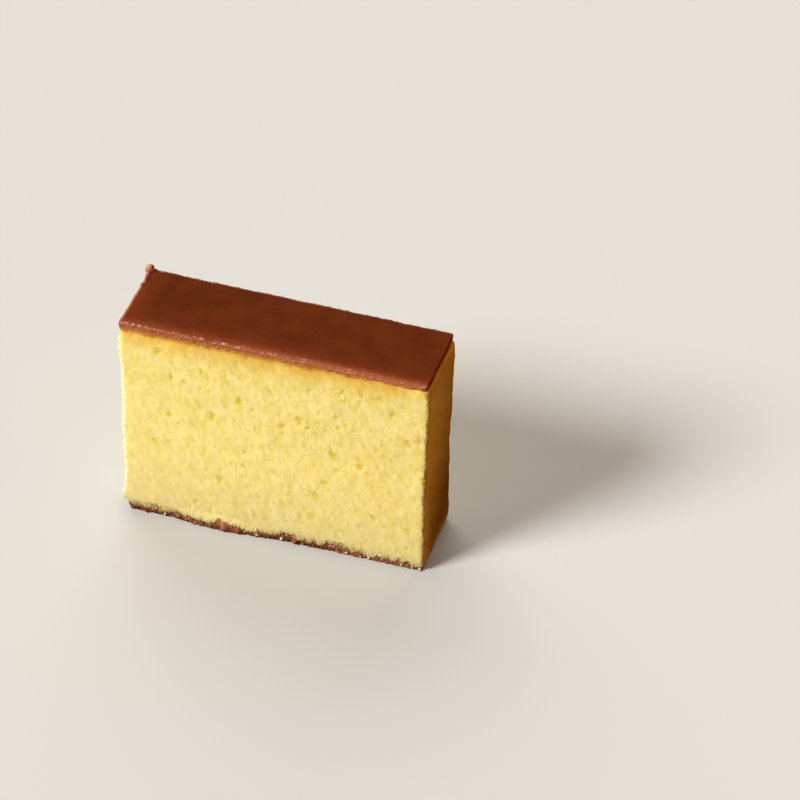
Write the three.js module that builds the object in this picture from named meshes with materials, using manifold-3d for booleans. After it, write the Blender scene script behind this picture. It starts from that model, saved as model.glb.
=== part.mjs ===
// A slice of castella sponge cake, standing on its bottom crust.
// Millimetres, +Z up. The origin is at the middle of the flat base, X runs along the
// slice and Y through its thickness. The fronts of slices and loaves face -Y.
import * as THREE from 'three';
import { mergeVertices } from 'three/addons/utils/BufferGeometryUtils.js';
import Module from 'manifold-3d';

// The plain block that the slice is cut as.
const length = 92;
const width = 26.4;
const height = 68.4;

// The top is level across the slice, but higher at the left end than at the right.
const crownTilt = 1.2;

// Top crust: its cut edge is thicker at the left end than at the right.
const crustThickness = 2.05;
const crustTaper = 1.4;
const crustWaver = 0.3;
const crustLip = 0.15;
const crustGroove = 0.12;

// Bottom crust: thin, ragged and set back a little under the crumb, except where it
// swells out of the front.
const footHeight = 2.4;
const footWaver = 0.6;
const footRecess = 0.3;
const footSwell = { x: -16, reach: 20, out: 1.4 };

// Crumb: the front and back are drawn in at mid height, and every face is a little uneven.
const waistDepth = 0.3;
const unevenness = 0.16;

// Profiles of the two ends. At the left the crumb swells below the crust, is hollow lower
// down and bulges above its foot, and at the right the crust stops short of the crumb.
const ends = {
  left: { shoulder: 0.8, crustInset: 0.0, hollow: 0.4, hollowAt: 13, hollowReach: 11, foot: 2.2 },
  right: { shoulder: 0.1, crustInset: 0.7, hollow: 0.35, hollowAt: 28, hollowReach: 24, foot: 0.6 },
};
const shoulder = { drop: 9.5, reach: 8 };
const bulge = { out: 0.8, at: 5.2, reach: 2.4 };

// Open pores of the crumb that are large enough to be part of its relief.
const poreShare = 0.16;
const poreDepth = { least: 0.3, most: 0.8 };

// Rounding of the block's edges, and the chip in the front lip of the crust.
const edgeRadius = 0.55;
const chip = { x: -18.6, reach: 2.4, depth: 0.7 };

// Rows and columns of the skin: fine beside the edges, even between them.
const edgeColumn = 0.7;
const footRows = [0, 0.5, 1.3, 2.4, 3.6, 5.2];
const crownRows = [4.2, 2.9, 1.9, 0.7, 0];
const columns = { x: 46, y: 13, z: 32 };
const skinJitter = 0.4;
const edgeMargin = 1.5;
const flatOn = 0.99;

// The left edge of the crust curls up towards the back corner and ends in a small knob.
const curl = { height: 1.5, run: 7, reach: 1.6 };
const knob = { size: [1.15, 1.45, 1.3], rise: 0.9, inset: [0.5, 1.5] };

// Small pieces that are part of the bottom crust: coarse sugar grains, by their places along
// the front and the back, and a brown lump.
const sugar = {
  front: [-33, -4.6, 2.7, 22.6, 26.7, 29.4, 39.3, 42.5, 44.7],
  back: [-41, -29.5, -12, -8.6, 6, 19.5, 33, 43.5],
  least: 0.42,
  most: 0.66,
  height: 0.65,
  scatter: 0.3,
  sunk: 0.12,
};
const lump = { x: 7.1, size: [1.35, 0.75, 1.0], height: 1.15, inset: 0.55 };

// Colour and finish.
const crumbYellow = 0xf0d878;

const random = seededRandom(11);

function seededRandom(seed) {
  let state = seed;
  return () => {
    state = (state + 0x6d2b79f5) | 0;
    let t = Math.imul(state ^ (state >>> 15), 1 | state);
    t = (t + Math.imul(t ^ (t >>> 7), 61 | t)) ^ t;
    return ((t ^ (t >>> 14)) >>> 0) / 4294967296;
  };
}

function between(least, most) {
  return least + (most - least) * random();
}

// 0 below `from`, 1 above `to`, and a smooth rise between them.
function rise(value, from, to) {
  return THREE.MathUtils.smoothstep(value, from, to);
}

// A smooth bump of height 1 at `centre` that ends `reach` away on both sides.
function bell(value, centre, reach) {
  const u = Math.min(Math.abs(value - centre) / reach, 1);
  return (1 - u * u) ** 2;
}

// A wandering line between -1 and 1: three sines that don't repeat together.
function waver(t, phase) {
  return 0.5 * Math.sin(0.19 * t + phase)
    + 0.3 * Math.sin(0.47 * t + 2.1 * phase)
    + 0.2 * Math.sin(1.03 * t + 3.7 * phase);
}

// Distance round the block of a point on its sides, so that a line on them joins up softly.
function along(point) {
  return point.x + 1.7 * point.y;
}

function crustDepth(point) {
  const taper = crustTaper * (-point.x / length);
  return crustThickness + taper + crustWaver * waver(along(point) * 2.2, 0.7);
}

function footDepth(point) {
  return footHeight + footWaver * waver(along(point) * 1.9, 2.3);
}

// How far the bottom crust of the front (side below 0) or the back stands out.
function footOffset(x, side) {
  const swell = side < 0 ? footSwell.out * bell(x, footSwell.x, footSwell.reach) : 0;
  return swell - footRecess * (1 + 0.45 * waver(x * 2.6, 5.1));
}

// How far a front or back face stands out from the plain block at a point.
function faceOffset(point) {
  const crustLine = height - crustDepth(point);
  const footLine = footDepth(point);
  const waist = waistDepth * Math.sin(Math.PI * point.z / height) ** 2;
  const lip = crustLip * rise(point.z, crustLine - 0.3, crustLine + 0.5);
  const groove = crustGroove * bell(point.z, crustLine - 0.9, 1.6);
  const foot = footOffset(point.x, point.y) * (1 - rise(point.z, footLine * 0.55, footLine + 0.3));
  return lip - waist - groove + foot;
}

// The same at an end face.
function endOffset(point) {
  const end = point.x < 0 ? ends.left : ends.right;
  const crustLine = height - crustDepth(point);
  const swell = end.shoulder * bell(point.z, height - shoulder.drop, shoulder.reach);
  const setback = end.crustInset * rise(point.z, crustLine - 0.6, crustLine + 1.2);
  const hollow = end.hollow * bell(point.z, end.hollowAt, end.hollowReach);
  const foot = end.foot * (1 - rise(point.z, 0.2, footHeight + 0.4 * end.foot));
  const low = point.x < 0 ? bulge.out * bell(point.z, bulge.at, bulge.reach) : 0;
  return swell + low - setback - hollow - foot;
}

// Spreads `count` steps over a span, with one narrow step beside each edge.
function columnPlace(index, count, span) {
  if (index === 0 || index === count) {
    return index === 0 ? -span / 2 : span / 2;
  }
  const step = (span - 2 * edgeColumn) / (count - 2);
  return -span / 2 + edgeColumn + (index - 1) * step;
}

// Heights of the rows: close together at the foot and the crust, even between them.
function rowPlace(index) {
  const crownStart = columns.z - crownRows.length + 1;
  if (index < footRows.length) {
    return footRows[index];
  }
  if (index >= crownStart) {
    return height - crownRows[index - crownStart];
  }
  const lowest = footRows[footRows.length - 1];
  const highest = height - crownRows[0];
  const step = (highest - lowest) / (crownStart - footRows.length + 1);
  return lowest + (index - footRows.length + 1) * step;
}

// A closed box of quads whose vertices are shared, laid out on the rows and columns.
function plainSkin() {
  const box = new THREE.BoxGeometry(columns.x, columns.y, columns.z, columns.x, columns.y, columns.z);
  box.deleteAttribute('normal');
  box.deleteAttribute('uv');
  const skin = mergeVertices(box);
  const place = skin.attributes.position;
  for (let i = 0; i < place.count; i += 1) {
    const column = Math.round(place.getX(i) + columns.x / 2);
    const rank = Math.round(place.getY(i) + columns.y / 2);
    const row = Math.round(place.getZ(i) + columns.z / 2);
    place.setXYZ(
      i,
      columnPlace(column, columns.x, length),
      columnPlace(rank, columns.y, width),
      rowPlace(row),
    );
  }
  return skin;
}

// Outward direction at a point of the block: square to a face, slanted near its edges.
function outward(point) {
  const inner = new THREE.Vector3(
    THREE.MathUtils.clamp(point.x, edgeRadius - length / 2, length / 2 - edgeRadius),
    THREE.MathUtils.clamp(point.y, edgeRadius - width / 2, width / 2 - edgeRadius),
    THREE.MathUtils.clamp(point.z, edgeRadius, height - edgeRadius),
  );
  return { inner, normal: point.clone().sub(inner).normalize() };
}

// A crumb point slides a little on its face, so that rows and columns don't show.
function slide(placed, point, normal) {
  const inwards = (reach, span) => span / 2 - Math.abs(reach) > edgeMargin;
  placed.z += between(-skinJitter, skinJitter);
  const sideways = between(-skinJitter, skinJitter);
  if (Math.abs(normal.y) > flatOn && inwards(point.x, length)) {
    placed.x += sideways;
  }
  if (Math.abs(normal.x) > flatOn && inwards(point.y, width)) {
    placed.y += sideways;
  }
}

// Moves a point of the plain block to its place on the slice.
function shaped(point) {
  const { inner, normal } = outward(point);
  const placed = inner.clone().addScaledVector(normal, edgeRadius);
  const onSide = Math.max(Math.abs(normal.x), Math.abs(normal.y)) > flatOn;
  const low = footHeight + edgeMargin;
  const high = height - crustThickness - edgeMargin;
  const onCrumb = onSide && point.z > low && point.z < high;
  if (onCrumb) {
    slide(placed, point, normal);
  }
  // Each level is scaled as a whole, so that the base and the top follow their edges.
  const uneven = unevenness * waver(point.x * 2 + point.y, point.z * 0.31);
  placed.x *= 1 + (endOffset(point) + uneven) / (length / 2);
  placed.y *= 1 + (faceOffset(point) + uneven) / (width / 2);
  placed.z -= crownTilt * (point.x / length) * (point.z / height);
  if (onCrumb && random() < poreShare) {
    placed.addScaledVector(normal, -between(poreDepth.least, poreDepth.most));
  }
  return placed;
}

// A shallow dip in the front lip of the crust.
function chipDrop(point) {
  const front = rise(-point.y, width / 2 - 1.6, width / 2 - 0.4);
  const top = rise(point.z, height - 1.2, height - 0.3);
  return chip.depth * front * top * bell(point.x, chip.x, chip.reach);
}

// The lifted left edge of the crust, highest at the back corner.
function curlLift(point) {
  const top = rise(point.z, height - 1.0, height - 0.3);
  const back = rise(point.y, width / 2 - curl.run, width / 2 - 0.5);
  return curl.height * top * back * (1 - rise(point.x + length / 2, 0.3, curl.reach));
}

function blockGeometry() {
  const skin = plainSkin();
  const place = skin.attributes.position;
  const point = new THREE.Vector3();
  for (let i = 0; i < place.count; i += 1) {
    point.fromBufferAttribute(place, i);
    const moved = shaped(point);
    moved.z += curlLift(point) - chipDrop(moved);
    place.setXYZ(i, moved.x, moved.y, moved.z);
  }
  return skin;
}

// A small rough pebble: an icosahedron with its corners pushed in and out.
function pebble(size, detail) {
  const round = new THREE.IcosahedronGeometry(1, detail);
  round.deleteAttribute('normal');
  round.deleteAttribute('uv');
  const stone = mergeVertices(round, 1e-3);
  const place = stone.attributes.position;
  for (let i = 0; i < place.count; i += 1) {
    const swell = between(0.82, 1.08);
    place.setXYZ(i, place.getX(i) * swell, place.getY(i) * swell, place.getZ(i) * swell);
  }
  stone.scale(size[0], size[1], size[2]);
  return stone;
}

// Evenly mixed numbers from 0 to 1 that look random: steps of the golden ratio.
function mixed(index, start) {
  return (start + index * 0.618034) % 1;
}

// Sugar grains along the bottom edge of the front (side below 0) or the back.
function sugarGrains(side) {
  return (side < 0 ? sugar.front : sugar.back).map((x, i) => {
    const radius = THREE.MathUtils.lerp(sugar.least, sugar.most, mixed(i, 0.77 + 0.1 * side));
    const grain = pebble([radius, radius, radius], 0);
    grain.rotateZ(Math.PI * mixed(i, 0.5));
    const y = side * (width / 2 + footOffset(x, side) - sugar.sunk);
    grain.translate(x, y, sugar.height + sugar.scatter * mixed(i, 0.1));
    return grain;
  });
}

// The brown lump on the bottom crust, and the knob where the curled edge ends.
function lumpAndKnob() {
  const brown = pebble(lump.size, 1);
  brown.translate(lump.x, lump.inset - width / 2, lump.height);
  const end = pebble(knob.size, 1);
  const top = height + crownTilt / 2;
  end.translate(knob.inset[0] - length / 2, width / 2 - knob.inset[1], top + knob.rise);
  return [brown, end];
}

function toSolid(wasm, geometry) {
  const mesh = new wasm.Mesh({
    numProp: 3,
    vertProperties: new Float32Array(geometry.attributes.position.array),
    triVerts: new Uint32Array(geometry.index.array),
  });
  return new wasm.Manifold(mesh);
}

function toGeometry(solid) {
  const mesh = solid.getMesh();
  const geometry = new THREE.BufferGeometry();
  geometry.setAttribute('position', new THREE.BufferAttribute(mesh.vertProperties, 3));
  geometry.setIndex(new THREE.BufferAttribute(mesh.triVerts, 1));
  return geometry;
}

// The block with its small pieces joined on, as one closed body.
async function sliceGeometry() {
  const wasm = await Module();
  wasm.setup();
  let solid = toSolid(wasm, blockGeometry());
  for (const piece of [...sugarGrains(-1), ...sugarGrains(1), ...lumpAndKnob()]) {
    solid = solid.add(toSolid(wasm, piece));
  }
  return toGeometry(solid);
}

const sponge = new THREE.MeshStandardMaterial({ color: crumbYellow, roughness: 0.85, metalness: 0 });
const slice = new THREE.Mesh(await sliceGeometry(), sponge);
slice.name = 'castella_slice';

const group = new THREE.Group();
group.add(slice);

export default group;
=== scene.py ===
import math

import bpy
from mathutils import Euler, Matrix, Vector


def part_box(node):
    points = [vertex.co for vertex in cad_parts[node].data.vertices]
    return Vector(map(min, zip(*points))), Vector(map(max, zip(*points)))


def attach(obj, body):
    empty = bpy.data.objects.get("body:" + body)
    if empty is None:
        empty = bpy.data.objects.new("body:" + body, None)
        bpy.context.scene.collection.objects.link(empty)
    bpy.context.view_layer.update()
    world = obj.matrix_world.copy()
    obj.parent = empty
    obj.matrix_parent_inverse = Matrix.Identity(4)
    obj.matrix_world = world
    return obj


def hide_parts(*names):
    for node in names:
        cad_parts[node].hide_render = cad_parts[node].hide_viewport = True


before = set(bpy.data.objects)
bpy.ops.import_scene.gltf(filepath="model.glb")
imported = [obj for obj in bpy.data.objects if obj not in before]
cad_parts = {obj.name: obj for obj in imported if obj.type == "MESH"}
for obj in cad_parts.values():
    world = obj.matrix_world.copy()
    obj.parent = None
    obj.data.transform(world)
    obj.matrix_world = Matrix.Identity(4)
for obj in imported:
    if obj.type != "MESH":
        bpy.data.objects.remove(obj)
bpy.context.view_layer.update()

# A slice of castella sponge cake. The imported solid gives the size; the pieces made here give
# the crumb, the brown top crust, the thin bottom crust, the sugar grains and the loose crumbs.
# Lengths are in millimetres of the slice unless a name says otherwise.

NODE = "castella_slice"
BODY = "root"
MM = 0.001

node_low, node_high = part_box(NODE)
NODE_SPAN = (node_high - node_low) / MM

# How far the solid reaches past the plain block: the shoulder of crumb at the left end, the
# crust's lip at the back, and the knob on the crust's raised back corner.
SHOULDER_REACH = 1.14
LIP_REACH = 0.31
KNOB_REACH = 2.73

LENGTH = NODE_SPAN.x - SHOULDER_REACH
WIDTH = 2 * (node_high.y / MM - LIP_REACH)
HEIGHT = NODE_SPAN.z - KNOB_REACH
LEFT, RIGHT = -LENGTH / 2, LENGTH / 2
FRONT, BACK = -WIDTH / 2, WIDTH / 2

# The top is higher at the left end than at the right.
TILT = 1.2

# Lines that wander: how high, how fast along the slice, and from what phase.
CRUST_WAVER = {"high": 0.3, "pace": 2.2, "phase": 0.7}
FOOT_WAVER = {"high": 0.6, "pace": 1.9, "phase": 2.3}
RECESS_WAVER = {"high": 0.45, "pace": 2.6, "phase": 5.1}
# The three sines that they are made of: share, pace and multiple of the phase.
SINES = ((0.5, 0.19, 1.0), (0.3, 0.47, 2.1), (0.2, 1.03, 3.7))
# How much faster the borders wander across the slice than along it.
CROSSWISE = 1.7

# Top crust: its cut edge is thicker at the left end than at the right.
CRUST = 2.05
CRUST_TAPER = 1.4
CRUST_LIP = 0.15
CRUST_GROOVE = 0.12

# Bottom crust, set back a little under the crumb except where it swells out of the front.
FOOT = 2.4
FOOT_RECESS = 0.3
FOOT_SWELL = {"x": -16, "reach": 20, "out": 1.4}
# Places along the front where more of the bottom crust shows.
WORN_FOOT = (-40, -17, 8, 21)
WORN_REACH = 9

# Crumb: how far it hangs over the bottom crust, the waist of the long faces, and the profiles
# of the two ends, with the bulge low on the left one.
CRUMB_HANG = 0.8
WAIST = 0.3
UNEVEN = 0.16
LEFT_END = {"shoulder": 0.8, "crust inset": 0.0, "hollow": 0.4, "at": 13, "reach": 11,
            "foot": 2.2}
RIGHT_END = {"shoulder": 0.1, "crust inset": 0.7, "hollow": 0.35, "at": 28, "reach": 24,
             "foot": 0.6}
SHOULDER_DROP = 9.5
SHOULDER_WIDE = 8
LEFT_BULGE = {"out": 0.8, "z": 5.2, "reach": 2.4}

# Marks on the slice: the notch below the crust at the right front corner, the chip in the
# crust's lip, the curled left edge with its lumps, the largest of them on the back corner, and
# the brown lump on the bottom crust.
NOTCH = {"depth": 0.8, "reach": 3.0, "drop": 4.0}
CHIP = {"x": -18.6, "reach": 2.0, "depth": 0.75}
CURL = {"height": 1.2, "run": 7, "reach": 1.6, "knob": 0.6}
LUMPS = (
    {"size": (1.2, 1.5, 1.3), "rise": 0.9, "x": 0.45, "y": 1.5},
    {"size": (0.7, 1.6, 0.85), "rise": 0.25, "x": 0.6, "y": 3.4},
    {"size": (0.5, 0.8, 0.5), "rise": 0.0, "x": 0.4, "y": 8.2},
)
KNOB = LUMPS[0]
FOOT_LUMP = {"x": 7.1, "z": 1.15, "reach": 1.5, "height": 1.25}

# How far light spreads in the crumb, in red, green and blue.
CRUMB_SPREAD = (1.0, 0.9, 0.6)

# Round edges of the three skins.
CRUMB_ROUND, CRUST_ROUND, FOOT_ROUND = 1.3, 0.45, 0.6

# Spacing of the fine skins' vertices, and the triangles that each piece may keep.
CRUMB_STEP = 0.3
CRUST_STEP = 0.22
FOOT_STEP = 0.24
TRIANGLES = {"crumb": 192000, "top_crust": 150000, "bottom_crust": 90000}

SEED = 11


# ---- Node graphs that are written as expressions -------------------------------------------


class Field:
    """A node socket that writes Math or Vector Math nodes when it is used in an expression."""

    def __init__(self, graph, socket):
        self.graph = graph
        self.socket = socket

    def _join(self, operation, *values):
        return self.graph.maths(operation, *values)

    def __add__(self, other):
        return self._join("ADD", self, other)

    __radd__ = __add__

    def __sub__(self, other):
        return self._join("SUBTRACT", self, other)

    def __rsub__(self, other):
        return self._join("SUBTRACT", other, self)

    def __mul__(self, other):
        return self._join("MULTIPLY", self, other)

    __rmul__ = __mul__

    def __truediv__(self, other):
        return self._join("DIVIDE", self, other)

    def __pow__(self, other):
        return self._join("POWER", self, other)

    def __neg__(self):
        return self._join("MULTIPLY", self, -1)

    def __abs__(self):
        return self._join("ABSOLUTE", self)

    def lower(self, other):
        return self._join("MINIMUM", self, other)

    def upper(self, other):
        return self._join("MAXIMUM", self, other)

    def sine(self):
        return self._join("SINE", self)

    def unit(self):
        return self._join("NORMALIZE", self)


def is_vector(value):
    return isinstance(value, tuple) or isinstance(value, Field) and value.socket.type == "VECTOR"


class Graph:
    """A node tree. Its one method for nodes takes a type, its settings and its sockets' values."""

    def __init__(self, tree):
        self.tree = tree

    def node(self, kind, settings=None, sockets=None, output=0):
        made = self.tree.nodes.new(kind)
        for name, value in (settings or {}).items():
            setattr(made, name, value)
        for key, value in (sockets or {}).items():
            self.plug(self.pick(made.inputs, key), value)
        return Field(self, self.pick(made.outputs, output))

    def pick(self, sockets, key):
        open_sockets = [s for s in sockets if s.enabled]
        if isinstance(key, int):
            return open_sockets[key]
        return next(s for s in open_sockets if s.name == key)

    def plug(self, socket, value):
        if isinstance(value, Field):
            self.tree.links.new(value.socket, socket)
        elif socket.type == "VECTOR" and isinstance(value, (int, float)):
            socket.default_value = (value, value, value)
        elif socket.type == "RGBA" and len(value) == 3:
            socket.default_value = (*value, 1)
        else:
            socket.default_value = value

    def maths(self, operation, *values):
        kind = "ShaderNodeVectorMath" if any(map(is_vector, values)) else "ShaderNodeMath"
        return self.node(kind, {"operation": operation}, dict(enumerate(values)))

    def parts(self, vector):
        """The x, y and z of a vector, or the red, green and blue of a colour."""
        split = self.node("ShaderNodeSeparateXYZ", {}, {0: vector}).socket.node
        return [Field(self, socket) for socket in split.outputs]

    def vector(self, x, y, z):
        return self.node("ShaderNodeCombineXYZ", {}, {0: x, 1: y, 2: z})

    def rise(self, value, start, stop):
        """0 below start, 1 above stop, and a smooth rise between them."""
        return self.node("ShaderNodeMapRange", {"interpolation_type": "SMOOTHSTEP"},
                         {"Value": value, "From Min": start, "From Max": stop})

    def bell(self, value, centre, reach):
        """A smooth bump of height 1 at centre that ends reach away on both sides."""
        away = (abs(value - centre) / reach).lower(1)
        return (1 - away * away) ** 2

    def waver(self, along, phase):
        """A wandering line between -1 and 1: three sines that don't repeat together."""
        return sum(share * (pace * along + turn * phase).sine() for share, pace, turn in SINES)

    def noise(self, point, wide, detail=2.0, roughness=0.5):
        """Smooth noise round 0.5, with lumps about wide across."""
        return self.node("ShaderNodeTexNoise", {}, {
            "Vector": point, "Scale": 1 / wide, "Detail": detail, "Roughness": roughness})

    def drift(self, point, wide, far):
        """The point moved at random by up to about far, differently every wide."""
        shift = self.node("ShaderNodeTexNoise", {}, {
            "Vector": point, "Scale": 1 / wide, "Detail": 1.0}, "Color")
        return point + (self.as_vector(shift) - 0.5) * (2 * far)

    def as_vector(self, colour):
        red, green, blue = self.parts(colour)
        return self.vector(red, green, blue)

    def cells(self, point, wide):
        """Distance to the nearest seed point of cells about wide across, and two random numbers."""
        away = self.node("ShaderNodeTexVoronoi", {}, {"Vector": point, "Scale": 1 / wide})
        red, green, _ = self.parts(Field(self, away.socket.node.outputs["Color"]))
        return away * wide, red, green

    def bubbles(self, point, wide, least, most, share, steep=0.7):
        """Depth of the round pits that a cut leaves of bubbles with radii from least to most."""
        away, size, chosen = self.cells(point, wide)
        radius = least + (most - least) * size
        closeness = (1 - (away / radius) ** 2).upper(0)
        return radius * closeness ** steep * self.maths("LESS_THAN", chosen, share)


class ShapeGraph(Graph):
    """A Geometry Nodes tree with named inputs, run once to give a plain mesh."""

    def __init__(self, name, kinds):
        super().__init__(bpy.data.node_groups.new(name, "GeometryNodeTree"))
        sockets = self.tree.interface
        for label, kind in kinds.items():
            sockets.new_socket(label, in_out="INPUT", socket_type="NodeSocket" + kind)
        sockets.new_socket("Geometry", in_out="OUTPUT", socket_type="NodeSocketGeometry")
        given = self.tree.nodes.new("NodeGroupInput")
        self.given = {label: Field(self, given.outputs[label]) for label in kinds}

    def finish(self, geometry, material):
        """Realizes instances, sets the material and smooth shading, and ends the tree."""
        real = self.node("GeometryNodeRealizeInstances", {}, {0: geometry})
        coated = self.node("GeometryNodeSetMaterial", {}, {"Geometry": real, "Material": material})
        smooth = self.node("GeometryNodeSetShadeSmooth", {}, {0: coated})
        end = self.tree.nodes.new("NodeGroupOutput")
        self.tree.links.new(smooth.socket, end.inputs[0])

    def run(self, name, values, start=None, triangles=None):
        """Evaluates the tree on an object with these input values, and keeps a plain mesh."""
        piece = bpy.data.objects.new(name, start or bpy.data.meshes.new(name))
        bpy.context.collection.objects.link(piece)
        shape = piece.modifiers.new("Shape", "NODES")
        shape.node_group = self.tree
        for socket in self.tree.interface.items_tree:
            if socket.in_out == "INPUT" and socket.name in values:
                shape[socket.identifier] = values[socket.name]
        if triangles:
            self.thin(piece, triangles)
        graph = bpy.context.evaluated_depsgraph_get()
        mesh = bpy.data.meshes.new_from_object(
            piece.evaluated_get(graph), preserve_all_data_layers=True, depsgraph=graph)
        piece.modifiers.clear()
        piece.data = mesh
        mesh.name = name
        return piece

    def thin(self, piece, triangles):
        """Adds a Decimate modifier that keeps about this many triangles."""
        graph = bpy.context.evaluated_depsgraph_get()
        full = len(piece.evaluated_get(graph).data.polygons) * 2
        if full > triangles:
            piece.modifiers.new("Thin", "DECIMATE").ratio = triangles / full


class Paint(Graph):
    """A material's tree, with one Principled shader."""

    def __init__(self, name, **constants):
        self.material = bpy.data.materials.new(name)
        self.material.use_nodes = True
        super().__init__(self.material.node_tree)
        self.shader = self.tree.nodes["Principled BSDF"]
        for label, value in constants.items():
            self.shader.inputs[label.replace("_", " ")].default_value = value

    def place(self):
        """The point of the object in millimetres."""
        at = self.node("ShaderNodeTexCoord", {}, {}, "Object")
        return at * (1 / MM)

    def stored(self, name, output="Fac"):
        """A value that was stored on the mesh by its tree."""
        return self.node("ShaderNodeAttribute", {"attribute_name": name}, {}, output)

    def mix(self, share, under, over):
        return self.node("ShaderNodeMix", {"data_type": "RGBA"},
                         {"Factor": share, "A": under, "B": over})

    def set(self, label, value):
        self.plug(self.shader.inputs[label], value)

    def relief(self, height, deep):
        """Fine relief of the surface, deep millimetres from its lowest to its highest point."""
        self.set("Normal", self.node("ShaderNodeBump", {}, {
            "Strength": 1.0, "Distance": deep * MM, "Height": height}))


def srgb(code):
    """A colour written as #rrggbb, as linear red, green and blue."""
    parts = [int(code[i:i + 2], 16) / 255 for i in (1, 3, 5)]
    return tuple(c / 12.92 if c <= 0.04045 else ((c + 0.055) / 1.055) ** 2.4 for c in parts)


# ---- Form shared by the pieces ---------------------------------------------------------------


def border(graph, x, y, waver):
    """How far a crust's border wanders from its level line."""
    return waver["high"] * graph.waver((x + CROSSWISE * y) * waver["pace"], waver["phase"])


def crust_line(graph, x, y):
    """Height of the lower border of the top crust."""
    taper = x * (-CRUST_TAPER / LENGTH)
    return HEIGHT - CRUST - taper - border(graph, x, y, CRUST_WAVER)


def foot_line(graph, x, y):
    """Height of the upper border of the bottom crust."""
    return FOOT + border(graph, x, y, FOOT_WAVER)


def tilted(x, z):
    """How much higher a point stands because the top is tilted."""
    return x * z * (-TILT / LENGTH / HEIGHT)


def by_end(graph, x, word):
    """A value of the left end's profile for negative x, and of the right end's for positive."""
    is_right = graph.maths("GREATER_THAN", x, 0)
    return LEFT_END[word] + (RIGHT_END[word] - LEFT_END[word]) * is_right


def face_offset(graph, x, y, z):
    """How far the crumb of a front or back face stands out from the plain block."""
    waist = WAIST * (z * (math.pi / HEIGHT)).sine() ** 2
    groove = CRUST_GROOVE * graph.bell(z, crust_line(graph, x, y) - 0.9, 1.6)
    return -(waist + groove)


def end_offset(graph, x, z):
    """The same at an end face, left for negative x and right for positive."""
    swell = by_end(graph, x, "shoulder") * graph.bell(z, HEIGHT - SHOULDER_DROP, SHOULDER_WIDE)
    hollow = by_end(graph, x, "hollow") * (
        graph.bell(z, by_end(graph, x, "at"), by_end(graph, x, "reach")))
    foot = by_end(graph, x, "foot")
    return swell - hollow - foot * (1 - graph.rise(z, 0.2, FOOT + 0.4 * foot))


def front_swell(graph, x, y):
    """How far the foot swells out of the front."""
    return FOOT_SWELL["out"] * graph.bell(x, FOOT_SWELL["x"], FOOT_SWELL["reach"]) * (
        graph.maths("LESS_THAN", y, 0))


def uneven(graph, x, y, z):
    """The broad unevenness that the crumb and its top crust share."""
    return UNEVEN * graph.waver(x * 2 + y, z * 0.31)


def block_skin(graph, low, high, radius):
    """A closed box skin of small squares with round edges: mesh, block point, normal, place."""
    size = tuple(b - a for a, b in zip(low, high))
    box = graph.node("GeometryNodeMeshCube", {}, {
        "Size": size, "Vertices X": graph.given["Columns"], "Vertices Y": graph.given["Ranks"],
        "Vertices Z": graph.given["Rows"]})
    middle = tuple((a + b) / 2 for a, b in zip(low, high))
    point = graph.node("GeometryNodeInputPosition") + middle
    inner_low = tuple(a + radius for a in low)
    inner_high = tuple(b - radius for b in high)
    inner = point.upper(inner_low).lower(inner_high)
    normal = (point - inner).unit()
    return box, point, normal, inner + normal * radius


def skin_counts(low, high, step):
    """The vertices of a box skin in each direction."""
    counts = [max(3, round((b - a) / step) + 1) for a, b in zip(low, high)]
    return dict(zip(("Columns", "Ranks", "Rows"), counts))


def on_sides(graph, normal):
    """1 on the upright faces and 0 on level ones."""
    _, _, up = graph.parts(normal)
    return 1 - graph.rise(abs(up), 0.5, 0.9)


def spread(x, y, along_x, along_y):
    """Moves the end and long faces out, and everything between them in proportion."""
    return x * (1 + along_x / (LENGTH / 2)), y * (1 + along_y / (WIDTH / 2))


def placed_mesh(graph, mesh, place, stored):
    """Stores the named values on the vertices, and moves them to their places, in metres."""
    mesh = keep_values(graph, mesh, stored)
    return graph.node("GeometryNodeSetPosition", {}, {"Geometry": mesh, "Position": place * MM})


def keep_values(graph, mesh, stored, domain="POINT"):
    """Stores the named values on each point, or on each instance."""
    for name, value in stored.items():
        kind = "FLOAT_VECTOR" if is_vector(value) else "FLOAT"
        mesh = graph.node("GeometryNodeStoreNamedAttribute", {"data_type": kind, "domain": domain},
                          {"Geometry": mesh, "Name": name, "Value": value})
    return mesh


def near_corners(graph, x, y, start, stop):
    """1 by the upright corners where x is greatest, rising from start to stop short of them."""
    return graph.rise(x, LENGTH / 2 - start, LENGTH / 2 - stop) * (
        graph.rise(abs(y), WIDTH / 2 - start, WIDTH / 2 - stop))


SKIN_INPUTS = {"Columns": "Int", "Ranks": "Int", "Rows": "Int"}


# ---- Crumb -----------------------------------------------------------------------------------

CRUMB_EDGE = FOOT - CRUMB_HANG
# The box of the crumb's skin reaches into both crusts, as theirs reach into the crumb.
CRUMB_LOW = (LEFT, FRONT, CRUMB_EDGE - 0.6)
CRUMB_HIGH = (RIGHT, BACK, HEIGHT - CRUST + 0.9)

# Large, middling and small pores: where their cells start, how wide the cells are, the least
# and the greatest radius, the share of cells with a pore, and how steep its wall is.
PORES = (
    ((0, 0, 0), 4.6, 0.8, 1.6, 0.4, 1.6),
    ((31, 17, 5), 2.5, 0.5, 1.0, 0.5, 1.4),
    ((7, 53, 29), 1.15, 0.25, 0.5, 0.62, 1.2),
)
# How far each size is sunk into the crumb, as a part of its depth.
PORES_SUNK = (0.11, 0.1, 0.07)


def crumb_pores(graph, point):
    """Depths of the open pores in three sizes, each a little taller than wide."""
    loose = graph.drift(graph.drift(point, 2.6, 1.4), 0.9, 0.8) * (1, 1, 0.66)
    x, _, _ = graph.parts(point)
    # The left part has fewer.
    open_part = 0.4 + 0.6 * graph.rise(x, LEFT, 0)
    return [graph.bubbles(loose + start, wide, least, most, share * open_part, steep)
            for start, wide, least, most, share, steep in PORES]


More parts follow.
